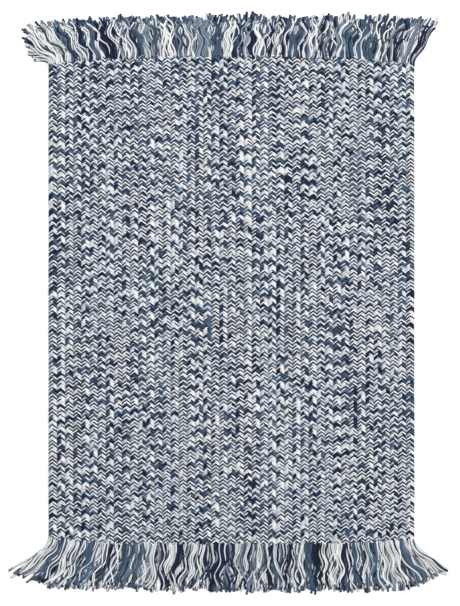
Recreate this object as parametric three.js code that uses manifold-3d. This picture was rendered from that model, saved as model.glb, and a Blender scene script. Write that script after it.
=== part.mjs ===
// A flat braided rug, lying on the floor, in millimetres.
//
// Forty-five long braids run the whole length of the rug side by side and are sewn edge to edge.
// Each braid has a crowned left half and a crowned right half, which meet in a shallow cleft where
// the points of its chevrons lie. Past both ends of the braids the yarns go on as a fringe: the
// three strands of each braid end there as three loose locks, held at their roots by a narrow strip.
// X runs across the braids, +Y along them to the fringe at the head of the rug, +Z up.
// The origin is the middle of the outline, on the floor.
import * as THREE from "three";
import { mergeVertices } from "three/addons/utils/BufferGeometryUtils.js";
import Module from "manifold-3d";

const wasm = await Module();
wasm.setup();

// Driving dimensions
const RUG_WIDTH = 610;
const BRAIDED_LENGTH = 800;
const BRAID_COUNT = 45;
const BRAID_THICKNESS = 8.4;
const BELLY_HEIGHT = 3.8;
const FOOT_INSET = 1.6;
const CLEFT_DEPTH = 1.5;
const SEAM_GAP = 0.3;
const LOCKS_PER_BRAID = 3;
const LOCK_LENGTH = 82;
const LOCK_GAP = 0.55;
const LOCK_HEIGHT = 4.6;
const STRIP_DEPTH = 4;
const STRIP_HEIGHT = 5.4;

const BRAID_PITCH = RUG_WIDTH / BRAID_COUNT;
const BRAID_WIDTH = BRAID_PITCH - SEAM_GAP;
const LOCK_COUNT = BRAID_COUNT * LOCKS_PER_BRAID;
const LOCK_PITCH = RUG_WIDTH / LOCK_COUNT;

// How much narrower a lock is along its top than along its foot, and how much narrower and lower
// it gets by its tip.
const LOCK_TOP_SHARE = 0.7;
const TIP_NARROWING = 0.45;
const TIP_SINKING = 0.3;

// Facets: up a braid's round side, over its crown, down into its cleft, and along a lock.
const SIDE_STEPS = 2;
const CROWN_STEPS = 3;
const CLEFT_STEPS = 2;
const LOCK_STEPS = 4;

// How the locks of each fringe lean, in degrees from straight out, towards +X. `across` is the
// place along the rug's width, from -1 at the left edge to 1 at the right edge.
const TOP_LEAN = [
  { across: -1.0, lean: -50 },
  { across: -0.96, lean: -42 },
  { across: -0.86, lean: -32 },
  { across: -0.6, lean: -20 },
  { across: -0.3, lean: -7 },
  { across: 0.2, lean: 8 },
  { across: 0.7, lean: 14 },
  { across: 0.93, lean: 24 },
  { across: 1.0, lean: 44 },
];
const BOTTOM_LEAN = [
  { across: -1.0, lean: -58 },
  { across: -0.95, lean: -43 },
  { across: -0.85, lean: -28 },
  { across: -0.5, lean: -15 },
  { across: 0.0, lean: -3 },
  { across: 0.6, lean: 4 },
  { across: 0.84, lean: 14 },
  { across: 0.95, lean: 36 },
  { across: 1.0, lean: 60 },
];

// The slow waves that neighbouring locks share: how far they sway and how often across the rug.
const SWAYS = {
  fringe_top: { reach: 4.2, bends: 1.15, across: 2.6, start: 0.4 },
  fringe_bottom: { reach: 3.2, bends: 0.9, across: 2.1, start: 2.0 },
};

// Uneven lengths: the wavy line of the tips, and each lock's own share.
const LENGTHS = {
  fringe_top: { wave: 0.035, waves: 3.4, start: 1.1, own: 0.05 },
  fringe_bottom: { wave: 0.04, waves: 2.3, start: 3.9, own: 0.04 },
};

const YARN = new THREE.Color(0.56, 0.6, 0.66);
const FRINGE_YARN = new THREE.Color(0.52, 0.56, 0.63);

function clothMaterial(color) {
  return new THREE.MeshStandardMaterial({ color, roughness: 0.95, metalness: 0 });
}

// A repeatable share from -1 to 1 for each lock.
function ownShare(index) {
  const turned = Math.sin(index * 12.9898 + 4.1414) * 43758.5453;
  return 2 * (turned - Math.floor(turned)) - 1;
}

// The lean at a place across the rug, joined smoothly between the rows of its table.
function leanAt(table, across) {
  const next = Math.max(1, table.findIndex((row) => row.across >= across));
  const from = table[next - 1];
  const to = table[next];
  const share = (across - from.across) / (to.across - from.across);
  return THREE.MathUtils.degToRad(THREE.MathUtils.lerp(from.lean, to.lean, share));
}

// The right half of a braid's section, from its flat foot to the cleft in its middle: a quarter of
// an ellipse out to its side, a quarter of an ellipse up to its crown, and half a wave into the cleft.
function rightHalfSection() {
  const side = BRAID_WIDTH / 2;
  const crown = side / 2;
  const points = [];
  for (let step = 0; step < SIDE_STEPS; step += 1) {
    const turn = (step / SIDE_STEPS) * (Math.PI / 2);
    const x = side - FOOT_INSET * (1 - Math.sin(turn));
    points.push(new THREE.Vector2(x, BELLY_HEIGHT * (1 - Math.cos(turn))));
  }
  for (let step = 0; step < CROWN_STEPS; step += 1) {
    const turn = (step / CROWN_STEPS) * (Math.PI / 2);
    const height = BELLY_HEIGHT + (BRAID_THICKNESS - BELLY_HEIGHT) * Math.sin(turn);
    points.push(new THREE.Vector2(crown + (side - crown) * Math.cos(turn), height));
  }
  for (let step = 0; step <= CLEFT_STEPS; step += 1) {
    const inwards = step / CLEFT_STEPS;
    const drop = (CLEFT_DEPTH * (1 - Math.cos(inwards * Math.PI))) / 2;
    points.push(new THREE.Vector2(crown * (1 - inwards), BRAID_THICKNESS - drop));
  }
  return points;
}

// One braid's section: flat on the floor, round at its sides, two crowns with a cleft between them.
function braidSection() {
  const right = rightHalfSection();
  const left = right.slice(0, -1).map((point) => new THREE.Vector2(-point.x, point.y));
  return new THREE.Shape([...right, ...left.reverse()]);
}

// A braid is its section carried straight along the rug.
function braid(index) {
  const geometry = new THREE.ExtrudeGeometry(braidSection(), {
    depth: BRAIDED_LENGTH,
    bevelEnabled: false,
  });
  geometry.rotateX(Math.PI / 2);
  const mesh = new THREE.Mesh(geometry, clothMaterial(YARN));
  mesh.name = `braid_${String(index + 1).padStart(2, "0")}`;
  mesh.position.set((index + 0.5) * BRAID_PITCH - RUG_WIDTH / 2, BRAIDED_LENGTH / 2, 0);
  return mesh;
}

// The line on the floor that a lock follows, pointing out of the fringe along +Y.
// It leaves the strip nearly straight, turns to its lean and sways with its neighbours.
function lockLine(name, leans, index) {
  const rootX = (index + 0.5) * LOCK_PITCH - RUG_WIDTH / 2;
  const across = rootX / (RUG_WIDTH / 2);
  const lean = leanAt(leans, across);
  const sway = SWAYS[name];
  const uneven = LENGTHS[name];
  const wave = uneven.wave * Math.sin(uneven.waves * Math.PI * across + uneven.start);
  const length = LOCK_LENGTH * (1 + wave + uneven.own * ownShare(index));
  const phase = sway.across * Math.PI * across + sway.start;
  const points = [];
  for (let step = 0; step <= LOCK_STEPS; step += 1) {
    const along = step / LOCK_STEPS;
    const drift = sway.reach * along * Math.sin(2 * Math.PI * sway.bends * along + phase);
    points.push({
      x: rootX + length * along * Math.sin(lean) + drift,
      y: length * along * Math.cos(lean),
      along,
    });
  }
  return points;
}

// A lock: four flat sides along its line, flat on the floor, thinner and narrower at its tip.
function lockGeometry(points) {
  const positions = [];
  const faces = [];
  points.forEach((point, step) => {
    const before = points[Math.max(0, step - 1)];
    const after = points[Math.min(points.length - 1, step + 1)];
    const run = Math.hypot(after.x - before.x, after.y - before.y);
    const sideX = (after.y - before.y) / run;
    const sideY = (before.x - after.x) / run;
    const taper = 1 - TIP_NARROWING * point.along ** 3;
    const foot = ((LOCK_PITCH - LOCK_GAP) / 2) * taper;
    const top = foot * LOCK_TOP_SHARE;
    const height = LOCK_HEIGHT * (1 - TIP_SINKING * point.along);
    const corners = [
      { side: -foot, z: 0 },
      { side: foot, z: 0 },
      { side: top, z: height },
      { side: -top, z: height },
    ];
    corners.forEach(({ side, z }) => positions.push(point.x + sideX * side, point.y + sideY * side, z));
  });
  for (let step = 0; step < points.length - 1; step += 1) {
    for (let corner = 0; corner < 4; corner += 1) {
      const a = step * 4 + corner;
      const b = step * 4 + ((corner + 1) % 4);
      faces.push(a, b + 4, b, a, a + 4, b + 4);
    }
  }
  const end = (points.length - 1) * 4;
  faces.push(0, 1, 2, 0, 2, 3);
  faces.push(end, end + 2, end + 1, end, end + 3, end + 2);
  const geometry = new THREE.BufferGeometry();
  geometry.setAttribute("position", new THREE.Float32BufferAttribute(positions, 3));
  geometry.setIndex(faces);
  return geometry;
}

function solidOf(geometry) {
  const bare = new THREE.BufferGeometry();
  bare.setAttribute("position", geometry.getAttribute("position"));
  bare.setIndex(geometry.index);
  const merged = mergeVertices(bare, 1e-4);
  return new wasm.Manifold(
    new wasm.Mesh({
      numProp: 3,
      vertProperties: new Float32Array(merged.attributes.position.array),
      triVerts: new Uint32Array(merged.index.array),
    }),
  );
}

function geometryOf(solid) {
  const mesh = solid.getMesh();
  const geometry = new THREE.BufferGeometry();
  geometry.setAttribute("position", new THREE.BufferAttribute(mesh.vertProperties, 3));
  geometry.setIndex(new THREE.BufferAttribute(mesh.triVerts, 1));
  geometry.computeVertexNormals();
  return geometry;
}

// A fringe: the narrow strip across the ends of the braids, with every lock fused into it.
function fringe(name, leans) {
  const strip = new THREE.BoxGeometry(RUG_WIDTH - SEAM_GAP, STRIP_DEPTH, STRIP_HEIGHT);
  strip.translate(0, 0, STRIP_HEIGHT / 2);
  const pieces = [solidOf(strip)];
  for (let index = 0; index < LOCK_COUNT; index += 1) {
    pieces.push(solidOf(lockGeometry(lockLine(name, leans, index))));
  }
  const mesh = new THREE.Mesh(geometryOf(wasm.Manifold.union(pieces)), clothMaterial(FRINGE_YARN));
  mesh.name = name;
  return mesh;
}

const rug = new THREE.Group();
for (let index = 0; index < BRAID_COUNT; index += 1) {
  rug.add(braid(index));
}

const stripMiddle = BRAIDED_LENGTH / 2 + SEAM_GAP + STRIP_DEPTH / 2;
const topFringe = fringe("fringe_top", TOP_LEAN);
topFringe.position.y = stripMiddle;
rug.add(topFringe);

// The lower fringe is built pointing along +Y too, then turned half round, which swaps its sides.
const bottomLeanTurned = BOTTOM_LEAN.map(({ across, lean }) => ({ across: -across, lean: -lean })).reverse();
const bottomFringe = fringe("fringe_bottom", bottomLeanTurned);
bottomFringe.rotation.z = Math.PI;
bottomFringe.position.y = -stripMiddle;
rug.add(bottomFringe);

// The frame's origin: the middle of the whole outline, on the floor.
rug.updateMatrixWorld(true);
const outline = new THREE.Box3().setFromObject(rug);
rug.position.set(-(outline.min.x + outline.max.x) / 2, -(outline.min.y + outline.max.y) / 2, -outline.min.z);

export default rug;
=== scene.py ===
"""A flat braided rug with a yarn fringe at both ends, seen from straight above.

Forty-five braids lie side by side. Each is braided from three strands of three yarns, and every
yarn is a tube that runs the whole length of its braid, over and under. Past both ends the same
yarns lie loose as a fringe. Lengths are in metres, X across the braids, +Y to the head, Z up.
"""
import math

import bpy
import numpy as np
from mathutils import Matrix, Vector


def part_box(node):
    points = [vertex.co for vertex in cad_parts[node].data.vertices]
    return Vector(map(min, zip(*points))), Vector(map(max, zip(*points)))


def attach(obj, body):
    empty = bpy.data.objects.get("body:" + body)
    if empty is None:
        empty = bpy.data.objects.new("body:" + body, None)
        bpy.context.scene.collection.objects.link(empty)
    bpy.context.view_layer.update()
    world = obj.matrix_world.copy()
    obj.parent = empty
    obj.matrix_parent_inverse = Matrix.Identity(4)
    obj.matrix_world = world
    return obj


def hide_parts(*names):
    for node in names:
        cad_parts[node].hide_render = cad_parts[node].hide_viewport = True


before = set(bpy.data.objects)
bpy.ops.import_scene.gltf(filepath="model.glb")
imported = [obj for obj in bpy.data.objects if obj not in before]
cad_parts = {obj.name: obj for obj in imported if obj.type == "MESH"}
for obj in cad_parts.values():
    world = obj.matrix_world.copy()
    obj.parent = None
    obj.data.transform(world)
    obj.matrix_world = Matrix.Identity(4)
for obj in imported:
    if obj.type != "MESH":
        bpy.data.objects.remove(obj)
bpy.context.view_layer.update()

MM = 0.001
SEED = 20
HEAD_SEED = SEED + 105
FOOT_SEED = SEED + 108

# The rug
RUG_WIDTH = 610 * MM
BRAID_COUNT = 45
BRAID_PITCH = RUG_WIDTH / BRAID_COUNT
BRAIDS_PER_PIECE = 9
MIDDLE_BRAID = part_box("braid_23")
BODY_X, BODY_Y, _ = (MIDDLE_BRAID[0] + MIDDLE_BRAID[1]) / 2
BRAIDED_LENGTH = MIDDLE_BRAID[1].y - MIDDLE_BRAID[0].y

# A braid: its three strands hold three yarns each, and a yarn has four stations on each of the
# braid's two lobes. It is thinner at the first of them, where it passes underneath.
YARNS = 9
LOBE_STATIONS = 4
TURN_LENGTH = 25.87 * MM
LOBE_REACH = 6.3 * MM
LOBE_RISE = 2.25 * MM
BRAID_MID_HEIGHT = 4.15 * MM
YARN_HALF_WIDE = 1.28 * MM
YARN_HALF_DEEP = 1.75 * MM
WIDTH_SPREAD = 0.08
THINNER_BELOW = 0.8

# How unevenly it is braided: the spread of each station, how far a braid's yarns wander and in
# how many waves from end to end, and the wave along the rug that neighbouring rows share, with
# its radians a metre
SPREAD_ACROSS = 0.12 * MM
SPREAD_UP = 0.10 * MM
SPREAD_ALONG = 0.15 * MM
WANDER_ACROSS = 0.2 * MM
WANDER_ALONG = 0.6 * MM
WANDER_WAVES = (1.5, 9.0)
ROW_WAVE = 1.2 * MM
ROW_WAVE_ACROSS = 9
ROW_WAVE_ALONG = 14

# The ends of the braids: how far they bow out at the middle of the rug, and how far they fall
# short of that at most. The share of it is a middle one, a wave across the rug, given for the
# foot and the head in radians a metre and its start, and a spread of each braid and each yarn.
HEAD_BOW = 12 * MM
FOOT_BOW = 9 * MM
WHOLE_LENGTH = BRAIDED_LENGTH + HEAD_BOW + FOOT_BOW
TURNS = math.ceil(WHOLE_LENGTH / TURN_LENGTH)
END_UNEVENNESS = 9 * MM
END_SHORT = 0.35
END_WAVE = 0.25
END_WAVES = ((52, 1.0), (41, 2.6))
END_BRAID_SPREAD = 0.16
END_YARN_SPREAD = 0.12

# How far past its end a yarn has sunk inside its braid, how much lower it then lies, and by what
# shares its turn has become narrower and flatter
END_SINKING = 5 * MM
END_DROP = 1.5 * MM
SUNK_NARROWING = 0.35
SUNK_FLATTENING = 0.9

# The inner yarn of the braids: half its depth, the share by which that is less at a braid's middle
# and more at its seams, how much narrower and shorter it is than the braids together, and how
# many columns of faces it has for each braid
HEART_HALF_DEEP = 1.0 * MM
HEART_WAVE = 0.3
HEART_INSET = 3 * MM
HEART_SHORT = 4 * END_UNEVENNESS
HEART_COLUMNS = 4

# The fringes' yarns: three locks for each braid, how far inside the braids' ends their roots lie,
# half their width and depth, and how much and how late a tip swells
LOCKS = 3 * BRAID_COUNT
FRINGE_ROOT = 5 * MM
FRINGE_HALF_WIDE = 1.5 * MM
FRINGE_HALF_DEEP = 1.15 * MM
TIP_SWELLING = 0.3
TIP_SWELLING_POWER = 10

# Clumps: the share of locks that start a new one, how much clumps differ in length, and how many
# millimetres a yarn's root lies off its place at most
CLUMP_STARTS = 0.6
CLUMP_LENGTH_SPREAD = 0.03
ROOT_SPREAD = 0.6

# Waves and curls: how many there are from root to tip, for a clump's wave and a yarn's own curl,
# which share of yarns stray and how much more they curl, and how much calmer all are at the
# corners, with the power of the place across by which they calm
CLUMP_BENDS = (0.9, 1.9)
OWN_BENDS = (1.0, 2.6)
STRAY_SHARE = 0.10
STRAY_CURL = 3.5
CORNER_CALM = 0.6
CORNER_CALM_POWER = 12

# By which share of its length a yarn has settled to its lean and its rest height, its ripple up
# and down, and the share by which its tip lies lower
SETTLED_BY = 0.35
RIPPLE = 0.5 * MM
RIPPLE_BENDS = 2.2
TIP_LOWERING = 0.35

# The fringes' two layers: clumps of straighter yarns below, clumps of curlier ones on top. Waves,
# curls and leans are in degrees, heights in millimetres, and a length is a share of the fringe's.
LOWER_YARNS = {
    "per_braid": 9,
    "map_rows": (0.0, 0.6),
    "steps": 10,
    "rest_heights": (1.2, 3.6),
    "root_heights": (3.0, 6.0),
    "length": 1.0,
    "own_length": 0.02,
    "clump_lean": 2,
    "shared_wave": 14,
    "own_curl": 5,
    "own_lean": 3,
    "drawn_in": 0.0,
    "own_dye": 0.45,
    "dye_shares": (0.28, 0.22, 0.36, 0.14),
}
UPPER_YARNS = {
    "per_braid": 7,
    "map_rows": (0.6, 1.0),
    "steps": 18,
    "rest_heights": (3.6, 6.0),
    "root_heights": (5.0, 7.6),
    "length": 0.95,
    "own_length": 0.04,
    "clump_lean": 5,
    "shared_wave": 40,
    "own_curl": 6,
    "own_lean": 1.5,
    "drawn_in": 0.15,
    "own_dye": 0.30,
    "dye_shares": (0.44, 0.20, 0.22, 0.14),
}

# How the fringes lean, in degrees from straight out, towards +X, at places across the rug from
# -1 at its left side to 1 at its right side
TOP_LEAN = {
    -1.0: -86, -0.98: -66, -0.955: -46, -0.86: -31, -0.6: -20,
    -0.3: -7, 0.2: 8, 0.7: 13, 0.93: 24, 1.0: 37,
}
BOTTOM_LEAN = {
    -1.0: -58, -0.95: -43, -0.85: -28, -0.5: -15, 0.0: -3,
    0.6: 4, 0.84: 14, 0.95: 32, 1.0: 53,
}

# How long the yarns are at such places, as a share of their fringe's length: the head's left
# corner has short ones that lie back
TOP_REACH = {-1.0: 0.28, -0.98: 0.68, -0.955: 1.02, -0.9: 1.0, 0.95: 1.0, 1.0: 1.1}
BOTTOM_REACH = {-1.0: 0.97, -0.95: 1.0, 0.93: 0.98, 1.0: 0.95}
TOP_FRINGE = {
    "leans": TOP_LEAN,
    "reaches": TOP_REACH,
    "length": 83 * MM,
    "bow": HEAD_BOW,
    "curliness": 1.15,
}
BOTTOM_FRINGE = {
    "leans": BOTTOM_LEAN,
    "reaches": BOTTOM_REACH,
    "length": 89 * MM,
    "bow": FOOT_BOW,
    "curliness": 0.9,
}

# Yarn colours, linear, the place of the light one among them, how uneven each dye is, how bright
# one may get, and the blue of some of the fringes' tips, with its share of the tips and its mix
OFF_WHITE = (0.815, 0.84, 0.865)
NAVY = (0.010, 0.020, 0.056)
STEEL_BLUE = (0.068, 0.115, 0.180)
GREY_BLUE = (0.24, 0.30, 0.375)
YARN_COLOURS = np.array([OFF_WHITE, NAVY, STEEL_BLUE, GREY_BLUE])
LIGHT = 0
DYE_UNEVENNESS = np.array([0.15, 0.32, 0.26, 0.18])
BRIGHTEST_DYE = 0.92
TIP_BLUE = np.array([0.030, 0.058, 0.135])
BLUE_TIP_SHARE = 0.4
BLUE_TIP_MIX = 0.75

# How the dyes of a braid follow one another: the chance that one stays for another turn, the lean
# to light beside a light and beside a dark yarn, how far one side of the turn leans to light, how
# much of that swing is kept and how much is fresh at each turn, and past which random numbers a
# dark yarn is one dye lighter than navy, and one lighter again
DYE_STAYS = 0.65
LEAN_BESIDE_LIGHT = -2.0
LEAN_BESIDE_DARK = 1.3
SIDE_LEAN = 1.35
SWING_KEPT = 0.88
SWING_FRESH = 0.475
STEEL_PAST = 0.52
LIGHTER_PAST = 0.88

# Painted shade: the share of light painted onto a yarn's crest, side, foot and other side, and the
# share of it that is painted away where the yarn has sunk
BRAID_PAINTED_SHADE = np.array([1.04, 0.43, 0.31, 0.43])
FRINGE_PAINTED_SHADE = np.array([0.84, 0.45, 0.30, 0.45])
SUNK_PAINTED_SHADE = 0.65

# The yarns' finish: noise cells a metre, shares of light, heights and roughness. The ridges' share
# is painted shade, darker in the grooves between the plies.
FIBRE_CELLS = 900.0
PATCH_CELLS = 120.0
LEAST_SHADE = 0.72
RIDGE_PAINTED_SHADE = 0.05
FIBRE_SHADE = 0.28
PATCH_SHADE = 0.28
RIDGE_HEIGHT = 0.35
BUMP_STRENGTH = 0.55
BUMP_DISTANCE = 0.3 * MM
YARN_ROUGHNESS = 0.82
FIBRE_ROUGHNESS = 0.16

# The yarns' flat map: where its lines start and how far they run, how many rows a tube's sides
# share, where a side starts in its row and how much of it a side fills, and where the squares of
# the two ends start and how much they fill
MAP_START = 0.004
MAP_RUN = 0.992
SIDE_ROWS = 4.1
SIDE_START = 0.02
SIDE_FILLS = 0.98
END_STARTS = (0.0, 0.998)
END_TALL = 0.9
END_WIDE = 0.002

# The photo: its size and the middle of the braids in it, in pixels, and a pixel's size on the rug
PHOTO_SIZE = (460, 606)
PHOTO_BODY_MIDDLE = (231.5, 301.5)
PIXEL = 1.669 * MM

# The camera's height above the top of the rug, its sensor in millimetres and how far it sees,
# how far the floor reaches to each side, and the strength of the room's light
CAMERA_HEIGHT = 4.0
RUG_TOP = 8 * MM
SENSOR_WIDTH = 36
CLIP_END = 50
FLOOR_REACH = 4.0
ROOM_LIGHT = 0.85


def unit(vectors):
    """Each vector divided by its own length."""
    return vectors / np.linalg.norm(vectors, axis=-1, keepdims=True)


def tubes(path, outward, half_wide, half_deep):
    """Closed tubes along the lines path[tube, station], each with a diamond for its section.

    A station's four corners lie half_deep along outward, half_wide to the side, and the same
    the other way round, square to the line. Quads join the corners of neighbouring stations, and
    a quad closes each end. Returns the points, then the faces: all sides first, then all ends.
    """
    count, stations = path.shape[:2]
    along = unit(np.gradient(path, axis=1))
    sideways = unit(np.cross(along, outward))
    deep = np.cross(sideways, along)
    wide_by, deep_by = sideways * half_wide[..., None], deep * half_deep[..., None]
    points = path[:, :, None] + np.stack([deep_by, wide_by, -deep_by, -wide_by], axis=2)
    index = np.arange(count * stations * 4).reshape(count, stations, 4)
    near, far = index[:, :-1], index[:, 1:]
    sides = np.stack([near, np.roll(near, -1, 2), np.roll(far, -1, 2), far], axis=-1)
    ends = np.stack([index[:, 0, ::-1], index[:, -1]], axis=1)
    return points.reshape(-1, 3), np.concatenate([sides.reshape(-1, 4), ends.reshape(-1, 4)])


def corner_colours(step_colours, corner_painted_shade):
    """The colour of each corner of the tubes' faces: the colour of its tube and step, indexed
    [tube, step], times the painted shade of its tube's corner, indexed [tube, step, corner]."""
    corner_painted_shade = corner_painted_shade + np.zeros((*step_colours.shape[:2], 1))
    next_corner = np.roll(corner_painted_shade, -1, axis=2)
    on_side = np.stack([corner_painted_shade, next_corner, next_corner, corner_painted_shade], axis=-1)
    sides = step_colours[:, :, None, None] * on_side[..., None]
    ends = step_colours[:, [0, -1], None] * corner_painted_shade[:, [0, -1], :, None]
    return np.concatenate([sides.reshape(-1, 3), ends.reshape(-1, 3)])


def yarn_map(path):
    """Where each corner of the tubes lies on a flat map: along by the length of the line so far
    and up by the tube's own row, with its four sides one above the other. The two ends are small
    squares at the ends of the row."""
    count, stations = path.shape[:2]
    steps = np.linalg.norm(np.diff(path, axis=1), axis=2)
    run = np.concatenate([np.zeros((count, 1)), np.cumsum(steps, axis=1)], axis=1)
    run = MAP_START + MAP_RUN * run / run.max()
    rows = np.arange(count)[:, None, None]
    sides = np.arange(4)[None, None, :]
    low = (rows + (sides + SIDE_START) / SIDE_ROWS) / count + np.zeros((1, stations - 1, 1))
    high = low + SIDE_FILLS / SIDE_ROWS / count
    u0 = run[:, :-1, None] + np.zeros((1, 1, 4))
    u1 = run[:, 1:, None] + np.zeros((1, 1, 4))
    corners = [(u0, low), (u0, high), (u1, high), (u1, low)]
    side_map = np.stack([np.stack(corner, axis=-1) for corner in corners], axis=-2)
    row = np.arange(count)[:, None] / count + np.zeros((1, 2))
    end = np.array(END_STARTS) + np.zeros((count, 1))
    far_end = end + END_WIDE
    tall = END_TALL / count
    square = [(end, row), (end, row + tall), (far_end, row + tall), (far_end, row)]
    end_map = np.stack([np.stack(corner, axis=-1) for corner in square], axis=-2)
    return np.concatenate([side_map.reshape(-1, 2), end_map.reshape(-1, 2)])


def mesh_piece(name, points, faces, material, corner_map=None, colours=None):
    """A smooth mesh of quads, with its map and its corners' colours where they are given."""
    mesh = bpy.data.meshes.new(name)
    mesh.vertices.add(len(points))
    mesh.vertices.foreach_set("co", points.astype(np.float32).ravel())
    mesh.loops.add(faces.size)
    mesh.loops.foreach_set("vertex_index", faces.astype(np.int32).ravel())
    mesh.polygons.add(len(faces))
    mesh.polygons.foreach_set("loop_start", np.arange(0, faces.size, 4, dtype=np.int32))
    mesh.update(calc_edges=True)
    mesh.shade_smooth()
    if corner_map is not None:
        layer = mesh.uv_layers.new(name="OFBake")
        layer.uv.foreach_set("vector", corner_map.astype(np.float32).ravel())
    if colours is not None:
        # The corners' colours: each yarn's dye times its painted shade
        layer = mesh.color_attributes.new("yarn_colour_and_shade", "FLOAT_COLOR", "CORNER")
        whole = np.concatenate([colours, np.ones((len(colours), 1))], axis=1)
        layer.data.foreach_set("color", whole.astype(np.float32).ravel())
    mesh.validate()
    mesh.materials.append(material)
    piece = bpy.data.objects.new(name, mesh)
    bpy.context.scene.collection.objects.link(piece)
    return piece


class Value:
    """A node's output socket, so that shader maths reads as plain arithmetic."""

    def __init__(self, finish, socket):
        self.finish = finish
        self.socket = socket

    def maths(self, operation, first, second):
        settings = {"operation": operation}
        return self.finish.node("ShaderNodeMath", settings, {0: first, 1: second})

    def __add__(self, other):
        return self.maths("ADD", self, other)

    __radd__ = __add__

    def __mul__(self, other):
        return self.maths("MULTIPLY", self, other)

    __rmul__ = __mul__

    def sine(self):
        return self.maths("SINE", self, 0.0)


class Finish:
    """One material and its nodes."""

    def __init__(self, name):
        self.material = bpy.data.materials.new(name)
        self.material.use_nodes = True
        self.tree = self.material.node_tree
        self.tree.nodes.clear()

    def node(self, kind, settings, inputs, output=0):
        """A node of that kind, with its settings, then the values or links of its sockets."""
        made = self.tree.nodes.new(kind)
        for key, value in settings.items():
            setattr(made, key, value)
        for key, value in inputs.items():
            if isinstance(value, Value):
                self.tree.links.new(value.socket, made.inputs[key])
            else:
                made.inputs[key].default_value = value
        return Value(self, made.outputs[output]) if len(made.outputs) else made

    def surface(self, inputs):
        shader = self.node("ShaderNodeBsdfPrincipled", {}, inputs)
        self.node("ShaderNodeOutputMaterial", {}, {"Surface": shader})
        return self.material


def spun_yarn(name, plies_along, plies_round):
    """Matte spun yarn in the colours of its piece, with the ridges of its plies and loose fibres.

    The ridges are a sine of the place along the yarn's map plus the place round it, so that they
    wind round the yarn, and their grooves are painted a little darker as shade. Fine noise makes
    each yarn lighter and darker, rough and hairy.
    """
    finish = Finish(name)
    # The corners' colours: dye with painted shade
    dye_and_shade = finish.node("ShaderNodeVertexColor", {"layer_name": "yarn_colour_and_shade"}, {})
    place = finish.node("ShaderNodeTexCoord", {}, {}, output="Object")
    on_map = finish.node("ShaderNodeUVMap", {"uv_map": "OFBake"}, {})
    along = finish.node("ShaderNodeSeparateXYZ", {}, {0: on_map}, output="X")
    across = finish.node("ShaderNodeSeparateXYZ", {}, {0: on_map}, output="Y")
    ply = (along * (2 * math.pi * plies_along) + across * (2 * math.pi * plies_round)).sine()
    fibre = finish.node("ShaderNodeTexNoise", {}, {
        "Vector": place,
        "Scale": FIBRE_CELLS,
        "Detail": 3.0,
    })
    patch = finish.node("ShaderNodeTexNoise", {}, {
        "Vector": place,
        "Scale": PATCH_CELLS,
        "Detail": 2.0,
    })
    # Painted shade in the grooves between plies, with the fibres' and patches' own uneven tone
    shade = LEAST_SHADE + ply * RIDGE_PAINTED_SHADE + fibre * FIBRE_SHADE + patch * PATCH_SHADE
    colour = finish.node("ShaderNodeVectorMath", {"operation": "SCALE"}, {0: dye_and_shade, "Scale": shade})
    height = ply * RIDGE_HEIGHT + fibre
    bump = finish.node("ShaderNodeBump", {}, {
        "Height": height,
        "Strength": BUMP_STRENGTH,
        "Distance": BUMP_DISTANCE,
    })
    return finish.surface({
        "Base Color": colour,
        "Roughness": YARN_ROUGHNESS + fibre * FIBRE_ROUGHNESS,
        "Normal": bump,
        "Sheen Weight": 0.04,
        "Sheen Roughness": 0.6,
        "Specular IOR Level": 0.1,
    })


def heart_yarn_in_painted_shade():
    """The yarn inside the braids, in dark colours as painted shade for the gaps between the outer
    yarns: navy, mottled with steel blue.
    """
    finish = Finish("inner_yarn_painted_shade")
    place = finish.node("ShaderNodeTexCoord", {}, {}, output="Object")
    mottle = finish.node("ShaderNodeTexNoise", {}, {"Vector": place, "Scale": 400.0})
    ramp = finish.node("ShaderNodeMix", {"data_type": "RGBA"}, {
        "Factor": mottle,
        "A": (*NAVY, 1.0),
        "B": (*STEEL_BLUE, 1.0),
    }, output="Result")
    return finish.surface({"Base Color": ramp, "Roughness": 0.85 + mottle * 0.1})


def braid_turn():
    """The stations of one whole turn of a yarn round both lobes of its braid: across, up and along.

    It runs under the braid to the left edge, turns up, comes back over the top to the middle and
    passes under the yarns of the right half. The right lobe is the left one, mirrored.
    """
    across = np.array([-0.36, -0.99, -0.93, -0.38])
    up = np.array([-0.95, -0.35, 0.62, 1.0])
    gone = np.array([0.0, 4.4, 6.95, 9.9]) * MM
    across = np.concatenate([across, -across]) * LOBE_REACH
    up = np.concatenate([up, up]) * LOBE_RISE
    gone = np.concatenate([gone, gone + TURN_LENGTH / 2])
    return across, up, gone


def slow_wander(rng, braids, along, reach):
    """A slow wander along each braid: the reach times half the sum of three long sine waves, of
    random length and start."""
    waves = rng.uniform(*WANDER_WAVES, (braids, 3, 1, 1)) / BRAIDED_LENGTH
    starts = rng.uniform(0, 2 * math.pi, (braids, 3, 1, 1))
    return reach * np.sin(2 * math.pi * waves * along[:, None] + starts).sum(axis=1) / 2


def bowed(across, bow):
    """How far an end of the braids bows out at that place across the rug: the whole bow at the
    middle, less the fourth power of the share of the way to the side."""
    return bow * (1 - (2 * across / RUG_WIDTH) ** 4)


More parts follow.
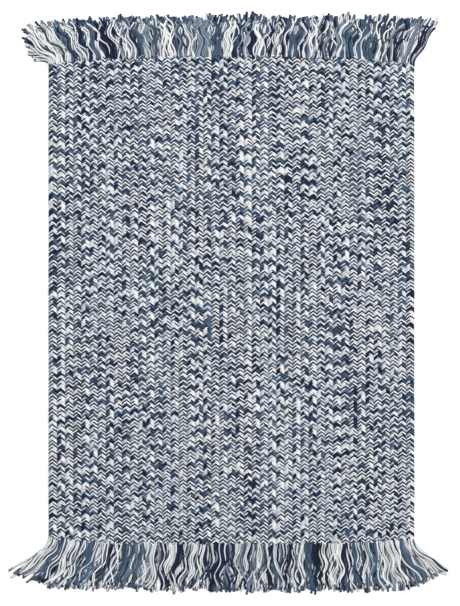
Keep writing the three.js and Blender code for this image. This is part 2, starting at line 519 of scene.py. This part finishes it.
def braid_yarns(rng, braids):
    """The lines of every yarn of these braids, one after another, from foot to head.

    Each yarn follows braid_turn again and again, a ninth of a turn behind the one before it,
    from the first station past the foot. Neighbouring braids are half a yarn out of step, so that
    their yarns meet at the seam. The bowed ends fall short by a slow wave across the rug and a
    share of each braid's and yarn's own, and a yarn sinks inside its braid past its end. Returns
    the lines, the outward direction, the turn, the station in it and how far the yarn has sunk.
    Outward is the turn's path seen along the braid, turned a quarter.
    """
    across, up, gone = braid_turn()
    steps = len(gone)
    count = len(braids)
    wanted = np.arange(math.ceil(WHOLE_LENGTH / TURN_LENGTH * steps) + 2)
    half_yarn = TURN_LENGTH / YARNS / 2
    behind = (2 * rng.integers(0, YARNS, count) + np.array(braids) % 2) * half_yarn
    behind = behind[:, None] - np.arange(YARNS) * 2 * half_yarn
    behind = np.mod(behind, TURN_LENGTH) - TURN_LENGTH
    early = behind[..., None] + gone
    first = (early < -FOOT_BOW).sum(axis=2)
    at = first[..., None] + wanted
    turn, step = at // steps, at % steps
    along = behind[..., None] + turn * TURN_LENGTH + gone[step]
    x = across[step] + rng.normal(0, SPREAD_ACROSS, at.shape)
    z = up[step] + rng.normal(0, SPREAD_UP, at.shape)
    y = along + rng.normal(0, SPREAD_ALONG, at.shape)
    x = x + slow_wander(rng, count, along, WANDER_ACROSS)
    y = y + slow_wander(rng, count, along, WANDER_ALONG)
    middle = (np.array(braids) - (BRAID_COUNT - 1) / 2) * BRAID_PITCH
    row_wave = ROW_WAVE_ACROSS * middle[:, None, None] + ROW_WAVE_ALONG * along
    y = y + ROW_WAVE * np.sin(row_wave)
    waves = [np.sin(often * middle + start) for often, start in END_WAVES]
    short = END_SHORT + END_WAVE * np.stack(waves)[:, :, None, None]
    short = short + rng.normal(0, END_BRAID_SPREAD, (2, count, 1, 1))
    short = short + rng.normal(0, END_YARN_SPREAD, (2, count, YARNS, 1))
    short = END_UNEVENNESS * np.clip(short, 0, 1)
    foot = short[0] - bowed(middle, FOOT_BOW)[:, None, None]
    head = BRAIDED_LENGTH + bowed(middle, HEAD_BOW)[:, None, None] - short[1]
    inside = np.clip(y, foot, head)
    sunk = np.clip(np.abs(y - inside) / END_SINKING, 0, 1)
    path = np.stack([
        x * (1 - SUNK_NARROWING * sunk) + middle[:, None, None] + BODY_X,
        inside + BODY_Y - BRAIDED_LENGTH / 2,
        z * (1 - SUNK_FLATTENING * sunk) - END_DROP * sunk + BRAID_MID_HEIGHT,
    ], axis=-1)
    ahead, back = np.roll(np.arange(steps), -1), np.roll(np.arange(steps), 1)
    lobe_x, lobe_z = across[ahead] - across[back], up[ahead] - up[back]
    outward = np.stack([-lobe_z, 0 * lobe_x, lobe_x], axis=-1)[step]
    shape = (count * YARNS, len(wanted))
    path, outward = path.reshape(*shape, 3), outward.reshape(*shape, 3)
    return path, outward, turn.reshape(shape), step.reshape(shape), sunk.reshape(shape)


def yarn_shades(rng, kinds):
    """Colours for a table of kinds of yarn, each a little lighter or darker than its dye."""
    shade = np.exp(rng.normal(0, 1, kinds.shape) * DYE_UNEVENNESS[kinds])
    return np.clip(YARN_COLOURS[kinds] * shade[..., None], 0, BRIGHTEST_DYE)


def lobe_kinds(rng, count):
    """Which dye shows on each lobe, yarn and turn: [braid, lobe, yarn, turn].

    Most dyes stay from turn to turn, because the yarns of a strand roll over slowly. A new one is
    mostly dark beside a light yarn and light beside a dark one, and one side of the turn leans to
    light and the other to dark, by a slowly drifting sine. Its chance of being light is the
    logistic curve of those leans together. Yarns start up to a turn before the foot, so there are
    two turns more than the braids are long.
    """
    turns = TURNS + 2
    swing = rng.normal(0, 1, (turns, 2, count, 2))
    for turn in range(1, turns):
        swing[turn] = SWING_KEPT * swing[turn - 1] + SWING_FRESH * swing[turn]
    round_turn = 2 * math.pi * np.arange(YARNS) / YARNS
    round_turn = np.stack([np.cos(round_turn), np.sin(round_turn)], axis=1)
    shape = (turns, YARNS, count, 2)
    chance = rng.uniform(0, 1, shape)
    stays = rng.uniform(0, 1, shape) < DYE_STAYS
    steel = rng.uniform(0, 1, shape) > STEEL_PAST
    lighter = rng.uniform(0, 1, shape) > LIGHTER_PAST
    dark = 1 + steel + lighter
    kinds = np.zeros(shape, int)
    for turn in range(turns):
        for yarn in range(YARNS):
            beside = kinds[turn, yarn - 1] if yarn else kinds[turn - 1, -1]
            side = round_turn[yarn, 0] * swing[turn, 0] + round_turn[yarn, 1] * swing[turn, 1]
            lean = np.where(beside == LIGHT, LEAN_BESIDE_LIGHT, LEAN_BESIDE_DARK)
            lean = lean + SIDE_LEAN * side
            is_light = chance[turn, yarn] < 1 / (1 + np.exp(-lean))
            fresh = np.where(is_light, LIGHT, dark[turn, yarn])
            kept = stays[turn, yarn] & (turn > 0)
            kinds[turn, yarn] = np.where(kept, kinds[turn - 1, yarn], fresh)
    return kinds.transpose(2, 3, 1, 0)


def braids_piece(rng, first, finish):
    """Several braids in one mesh: the tubes of their yarns, coloured lobe by lobe.

    A yarn that lies on its braid's left lobe with one side up shows the other on the right lobe.
    """
    braids = list(range(first, first + BRAIDS_PER_PIECE))
    path, outward, turn, step, sunk = braid_yarns(rng, braids)
    half_wide = YARN_HALF_WIDE * (1 + rng.normal(0, WIDTH_SPREAD, path.shape[:2]))
    half_deep = YARN_HALF_DEEP * np.where(step % LOBE_STATIONS == 0, THINNER_BELOW, 1.0)
    points, faces = tubes(path, outward, half_wide, half_deep)
    shades = yarn_shades(rng, lobe_kinds(rng, len(braids)))
    yarn = np.arange(len(path))[:, None]
    lobe = step[:, :-1] // LOBE_STATIONS
    step_colours = shades[yarn // YARNS, lobe, yarn % YARNS, turn[:, :-1]]
    # Painted shade: a yarn that has sunk inside its braid past the end is painted darker
    step_colours = step_colours * (1 - SUNK_PAINTED_SHADE * sunk[:, :-1, None])
    # Painted shade on the four corners of each tube: its crest lit, its sides and foot darker; on
    # the right lobe the other side is up
    corner_painted_shade = np.array([BRAID_PAINTED_SHADE, np.roll(BRAID_PAINTED_SHADE, 2)])[lobe]
    piece = mesh_piece(
        f"braids_{first + 1:02d}_to_{braids[-1] + 1:02d}",
        points,
        faces,
        finish,
        yarn_map(path),
        corner_colours(step_colours, corner_painted_shade),
    )
    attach(piece, "root")
    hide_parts(*[f"braid_{number + 1:02d}" for number in braids])
    return piece


def fringe_lines(rng, form, layer):
    """The lines of a fringe's loose yarns, pointing out along +Y from y = 0, and their clumps.

    A clump is one to a few locks that lie side by side, with their yarns almost evenly spaced. A
    yarn's direction is its lean, reached smoothly, plus a wave that its clump shares and a curl of
    its own, which is large in a few strays. The waves, the curls and the clumps' own leans are
    calmer towards the corners. Its line is the sum of steps in that direction, drawn in towards
    its clump's middle.
    """
    count = BRAID_COUNT * layer["per_braid"]
    lock = np.arange(count) * LOCKS // count
    clump = np.cumsum(rng.uniform(0, 1, LOCKS) < CLUMP_STARTS)[lock]
    root_x = ((np.arange(count) + 0.5) / count - 0.5) * RUG_WIDTH
    root_x = root_x + rng.uniform(-ROOT_SPREAD, ROOT_SPREAD, count) * MM
    middle_x = np.bincount(clump, root_x) / np.maximum(np.bincount(clump), 1)
    place = root_x / (RUG_WIDTH / 2)
    calm = 1 - CORNER_CALM * place[:, None] ** CORNER_CALM_POWER
    reach = np.interp(place, list(form["reaches"]), list(form["reaches"].values()))
    lean = np.interp(place, list(form["leans"]), list(form["leans"].values()))
    lean = lean + rng.normal(0, layer["clump_lean"], LOCKS + 1)[clump] * calm[:, 0]
    lean = lean + rng.normal(0, layer["own_lean"], count)
    share = np.linspace(0, 1, layer["steps"] + 1)[None, :]
    shared_bends = rng.uniform(*CLUMP_BENDS, LOCKS + 1)[clump, None] * share
    shared_bends = shared_bends + rng.uniform(0, 1, LOCKS + 1)[clump, None]
    own_bends = rng.uniform(*OWN_BENDS, (count, 1)) * share + rng.uniform(0, 1, (count, 1))
    own_reach = np.abs(rng.normal(0, layer["own_curl"], (count, 1)))
    own_reach = own_reach * np.where(rng.uniform(0, 1, (count, 1)) < STRAY_SHARE, STRAY_CURL, 1)
    wave = layer["shared_wave"] * np.sin(2 * math.pi * shared_bends)
    wave = (wave + own_reach * np.sin(2 * math.pi * own_bends)) * form["curliness"] * calm
    settle = np.clip(share / SETTLED_BY, 0, 1)
    settle = settle * settle * (3 - 2 * settle)
    angle = np.radians(lean[:, None] * settle + wave * np.sqrt(share))
    uneven = rng.normal(0, CLUMP_LENGTH_SPREAD, LOCKS + 1)[clump]
    uneven = uneven + rng.normal(0, layer["own_length"], count)
    length = (form["length"] - bowed(root_x, form["bow"])) * reach
    step = (length * (layer["length"] + uneven))[:, None] / layer["steps"]
    x = root_x[:, None] + np.cumsum(np.sin(angle) * step, axis=1) - np.sin(angle[:, :1]) * step
    x = x + layer["drawn_in"] * settle * (middle_x[clump] - root_x)[:, None]
    y = np.cumsum(np.cos(angle) * step, axis=1) - np.cos(angle[:, :1]) * step
    y = y + bowed(root_x, form["bow"])[:, None] + rng.uniform(-0.5, 0.5, (count, 1)) * FRINGE_ROOT
    root_z = rng.uniform(*layer["root_heights"], (count, 1)) * MM
    rest_z = rng.uniform(*layer["rest_heights"], (count, 1)) * MM
    ripple_bends = RIPPLE_BENDS * share + rng.uniform(0, 1, (count, 1))
    ripple = RIPPLE * np.sin(2 * math.pi * ripple_bends)
    z = root_z + (rest_z - root_z) * settle + ripple * settle
    z = np.maximum(z * (1 - TIP_LOWERING * share ** 2), FRINGE_HALF_DEEP * (1 + TIP_SWELLING))
    return np.stack([x, y, z], axis=-1), clump


def fringe_dyes(rng, layer, clump):
    """The dye of each step of a fringe's yarns, [yarn, step].

    A clump shares a dye, some yarns have one of their own, and the tips of some are blue.
    """
    clump_kinds = rng.choice(len(YARN_COLOURS), LOCKS + 1, p=layer["dye_shares"])
    own_kinds = rng.choice(len(YARN_COLOURS), len(clump), p=layer["dye_shares"])
    has_own = rng.uniform(0, 1, len(clump)) < layer["own_dye"]
    shades = yarn_shades(rng, np.where(has_own, own_kinds, clump_kinds[clump]))
    step_colours = np.repeat(shades[:, None], layer["steps"], axis=1)
    blue_tip = rng.uniform(0, 1, len(clump)) < BLUE_TIP_SHARE
    step_colours[blue_tip, -1] = step_colours[blue_tip, -1] * (1 - BLUE_TIP_MIX) + TIP_BLUE * BLUE_TIP_MIX
    return step_colours


def fringe_layer(rng, head, form, layer):
    """One layer of a fringe: the points, faces, map and colours of its tubes.

    The tubes swell a little at their frayed tips. The map is squeezed into its layer's rows.
    """
    path, clump = fringe_lines(rng, form, layer)
    end = BRAIDED_LENGTH / 2 - FRINGE_ROOT
    path[..., 0] += BODY_X
    path[..., 1] = (path[..., 1] + end) * (1 if head else -1) + BODY_Y
    share = np.linspace(0, 1, layer["steps"] + 1)[None, :] + np.zeros((len(path), 1))
    swelling = 1 + TIP_SWELLING * share ** TIP_SWELLING_POWER
    outward = np.zeros_like(path)
    outward[..., 2] = 1
    points, faces = tubes(path, outward, FRINGE_HALF_WIDE * swelling, FRINGE_HALF_DEEP * swelling)
    low_row, high_row = layer["map_rows"]
    corner_map = yarn_map(path) * (1, high_row - low_row) + (0, low_row)
    # The fringe's tubes are painted darker on their sides and foot, as shade
    return points, faces, corner_map, corner_colours(fringe_dyes(rng, layer, clump), FRINGE_PAINTED_SHADE)


def fringe_piece(rng, name, head, form, finish):
    """A fringe: its lower and its upper layer of loose yarns in one mesh."""
    lower = fringe_layer(rng, head, form, LOWER_YARNS)
    upper = fringe_layer(rng, head, form, UPPER_YARNS)
    upper[1][:] += len(lower[0])
    points, faces, corner_map, colours = [np.concatenate(pair) for pair in zip(lower, upper)]
    piece = mesh_piece(f"{name}_yarns", points, faces, finish, corner_map, colours)
    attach(piece, "root")
    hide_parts(name)
    return piece


def braid_hearts(finish):
    """The inner yarn of the braids as one sheet, sewn edge to edge, seen only between the yarns,
    where its dark colour is painted shade in those gaps.

    Its top and bottom are half the thickness above and below the middle of the braids. The
    thickness is greatest at the seams and least at the middles of the braids: a cosine with one
    wave for each braid. It ends well inside the uneven ends of the braids.
    """
    columns, rows = BRAID_COUNT * HEART_COLUMNS + 1, 3
    across = np.linspace(-0.5, 0.5, columns)
    half = (1.0 - HEART_WAVE * np.cos(2 * math.pi * across * BRAID_COUNT)) * HEART_HALF_DEEP
    x = BODY_X + across * (RUG_WIDTH - HEART_INSET)
    y = BODY_Y + np.linspace(-0.5, 0.5, rows) * (BRAIDED_LENGTH - HEART_SHORT)
    grid_x, grid_y = np.meshgrid(x, y, indexing="ij")
    top = np.stack([grid_x, grid_y, BRAID_MID_HEIGHT + half[:, None] + 0 * grid_x], axis=-1)
    bottom = np.stack([grid_x, grid_y, BRAID_MID_HEIGHT - half[:, None] + 0 * grid_x], axis=-1)
    points = np.concatenate([top.reshape(-1, 3), bottom.reshape(-1, 3)])
    upper = np.arange(columns * rows).reshape(columns, rows)
    lower = upper + columns * rows
    tops = np.stack([upper[:-1, :-1], upper[1:, :-1], upper[1:, 1:], upper[:-1, 1:]], axis=-1)
    bottoms = np.stack([lower[:-1, :-1], lower[:-1, 1:], lower[1:, 1:], lower[1:, :-1]], axis=-1)

    def wall(edge_top, edge_bottom):
        return np.stack([edge_bottom[:-1], edge_bottom[1:], edge_top[1:], edge_top[:-1]], axis=-1)

    walls = [
        wall(upper[:, 0], lower[:, 0]),
        wall(upper[::-1, -1], lower[::-1, -1]),
        wall(upper[-1], lower[-1]),
        wall(upper[0, ::-1], lower[0, ::-1]),
    ]
    faces = np.concatenate([tops.reshape(-1, 4), bottoms.reshape(-1, 4), *walls])
    piece = mesh_piece("braid_hearts", points, faces, finish)
    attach(piece, "root")


def camera():
    """Straight above, with the photo's frame: its picture's middle lies beside the rug's own."""
    shift_x = (PHOTO_SIZE[0] / 2 - PHOTO_BODY_MIDDLE[0]) * PIXEL
    shift_y = (PHOTO_BODY_MIDDLE[1] - PHOTO_SIZE[1] / 2) * PIXEL
    data = bpy.data.cameras.new("camera")
    data.sensor_width = SENSOR_WIDTH
    data.lens = data.sensor_width * CAMERA_HEIGHT / (PHOTO_SIZE[1] * PIXEL)
    data.clip_end = CLIP_END
    made = bpy.data.objects.new("camera", data)
    made.location = (BODY_X + shift_x, BODY_Y + shift_y, CAMERA_HEIGHT + RUG_TOP)
    bpy.context.scene.collection.objects.link(made)
    bpy.context.scene.camera = made


def floor():
    """A plain pale floor: one square, far wider than the rug."""
    finish = Finish("pale_floor")
    material = finish.surface({"Base Color": (0.92, 0.92, 0.92, 1.0), "Roughness": 0.9})
    corners = np.array([(-1, -1, 0), (1, -1, 0), (1, 1, 0), (-1, 1, 0)])
    piece = mesh_piece("floor", corners * FLOOR_REACH, np.array([[0, 1, 2, 3]]), material)


def area_light(name, place, size, power):
    """A soft square lamp that shines at the origin, near the middle of the rug."""
    data = bpy.data.lights.new(name, "AREA")
    data.energy = power
    data.size = size
    made = bpy.data.objects.new(name, data)
    made.location = place
    away = made.location.normalized()
    made.rotation_mode = "QUATERNION"
    made.rotation_quaternion = away.to_track_quat("Z", "Y")
    bpy.context.scene.collection.objects.link(made)


def studio():
    """Plain soft studio light: a pale room, a broad lamp from the upper right and a fill."""
    world = bpy.data.worlds.new("studio")
    world.use_nodes = True
    background = world.node_tree.nodes["Background"]
    background.inputs["Color"].default_value = (1, 1, 1, 1)
    background.inputs["Strength"].default_value = ROOM_LIGHT
    bpy.context.scene.world = world
    bpy.context.scene.view_settings.view_transform = "Standard"
    area_light("key_lamp", place=(1.1, 1.4, 3.0), size=1.4, power=70)
    area_light("fill_lamp", place=(-1.4, 0.6, 2.8), size=1.6, power=22)


camera()
floor()
studio()

braid_finish = spun_yarn("braided_yarn", plies_along=190, plies_round=BRAIDS_PER_PIECE * YARNS * 2)
fringe_finish = spun_yarn("loose_yarn", plies_along=15, plies_round=2000)
for first_braid in range(0, BRAID_COUNT, BRAIDS_PER_PIECE):
    braids_piece(np.random.default_rng(SEED + first_braid), first_braid, braid_finish)
head_rng = np.random.default_rng(HEAD_SEED)
foot_rng = np.random.default_rng(FOOT_SEED)
fringe_piece(head_rng, "fringe_top", True, TOP_FRINGE, fringe_finish)
fringe_piece(foot_rng, "fringe_bottom", False, BOTTOM_FRINGE, fringe_finish)
braid_hearts(heart_yarn_in_painted_shade())
